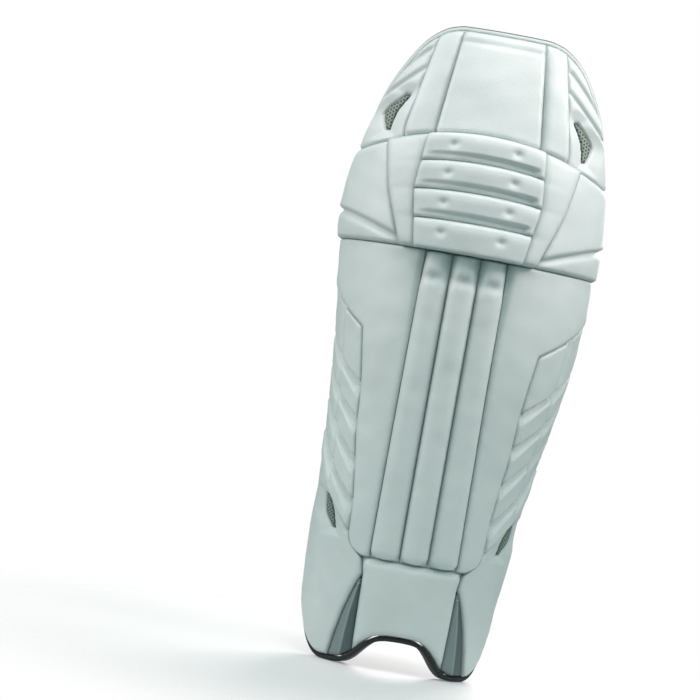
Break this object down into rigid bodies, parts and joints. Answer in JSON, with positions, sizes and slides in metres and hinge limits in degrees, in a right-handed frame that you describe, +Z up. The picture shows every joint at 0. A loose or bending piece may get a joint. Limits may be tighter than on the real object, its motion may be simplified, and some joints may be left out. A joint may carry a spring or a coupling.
{
  "type": "batting pad",
  "caption": "Upright cricket batting pad: padded white facing with canes, knee rolls and ribbed wings, bolstered lining and elastic straps across the open rear.",
  "frame": {"origin": "on the floor under the middle of the pad's bounding box", "axes": "+Z up along the shin, -Y towards the facing's front, +X to the right of a viewer in front"},
  "size_m": [0.2804, 0.1826, 0.6797],
  "materials": {
    "white_leather": "white coated leather, soft sheen",
    "grey_insert": "grey coated leather",
    "vent_mesh": "dark open mesh",
    "edge_binding": "dark woven binding",
    "thigh_cloth": "padded lining cloth with plain bands of colour",
    "silver_mesh": "silver spacer mesh",
    "black_mesh": "black textured bolster cloth",
    "slate_cloth": "dark slate cloth",
    "black_leather": "smooth black coated lining",
    "strap_elastic": "black elastic",
    "strap_webbing": "grey woven webbing",
    "tab_leather": "white coated leather",
    "buckle_plastic": "black moulded plastic"
  },
  "bodies": {
    "root": {"ankle_insert_left": "grey_insert", "ankle_insert_right": "grey_insert", "ankle_lining_centre": "black_leather", "ankle_lining_left": "black_leather", "ankle_lining_right": "black_leather", "ankle_strap": "strap_elastic", "ankle_tab": "tab_leather", "ankle_trim_left": "silver_mesh", "ankle_trim_right": "silver_mesh", "ankle_vent_left": "vent_mesh", "ankle_vent_right": "vent_mesh", "ankle_webbing": "strap_webbing", "ankle_wing_left": "white_leather", "ankle_wing_right": "white_leather", "bottom_binding": "edge_binding", "calf_bolster_left": "black_mesh", "calf_bolster_right": "black_mesh", "calf_buckle": "buckle_plastic", "calf_strap": "strap_elastic", "calf_tab": "tab_leather", "calf_webbing": "strap_webbing", "cane_1": "white_leather", "cane_2": "white_leather", "cane_3": "white_leather", "centre_channel": "slate_cloth", "centre_stripe": "tab_leather", "instep_panel": "white_leather", "knee_bolster_left": "black_mesh", "knee_bolster_right": "black_mesh", "knee_cup": "silver_mesh", "knee_roll_1": "white_leather", "knee_roll_2": "white_leather", "knee_roll_3": "white_leather", "knee_roll_4": "white_leather", "knee_strap": "strap_elastic", "knee_strip_left": "white_leather", "knee_strip_right": "white_leather", "knee_tab": "tab_leather", "knee_webbing": "strap_webbing", "knee_wing_left": "white_leather", "knee_wing_right": "white_leather", "shin_panel_left": "white_leather", "shin_panel_right": "white_leather", "shin_wing_left": "white_leather", "shin_wing_right": "white_leather", "side_mesh_left": "silver_mesh", "side_mesh_right": "silver_mesh", "side_trim_left": "silver_mesh", "side_trim_right": "silver_mesh", "thigh_lining": "thigh_cloth", "top_binding": "edge_binding", "top_panel": "white_leather", "top_roll_left": "white_leather", "top_roll_right": "white_leather", "top_vent_left": "vent_mesh", "top_vent_right": "vent_mesh", "top_wing_left": "white_leather", "top_wing_right": "white_leather"}
  },
  "joints": []
}
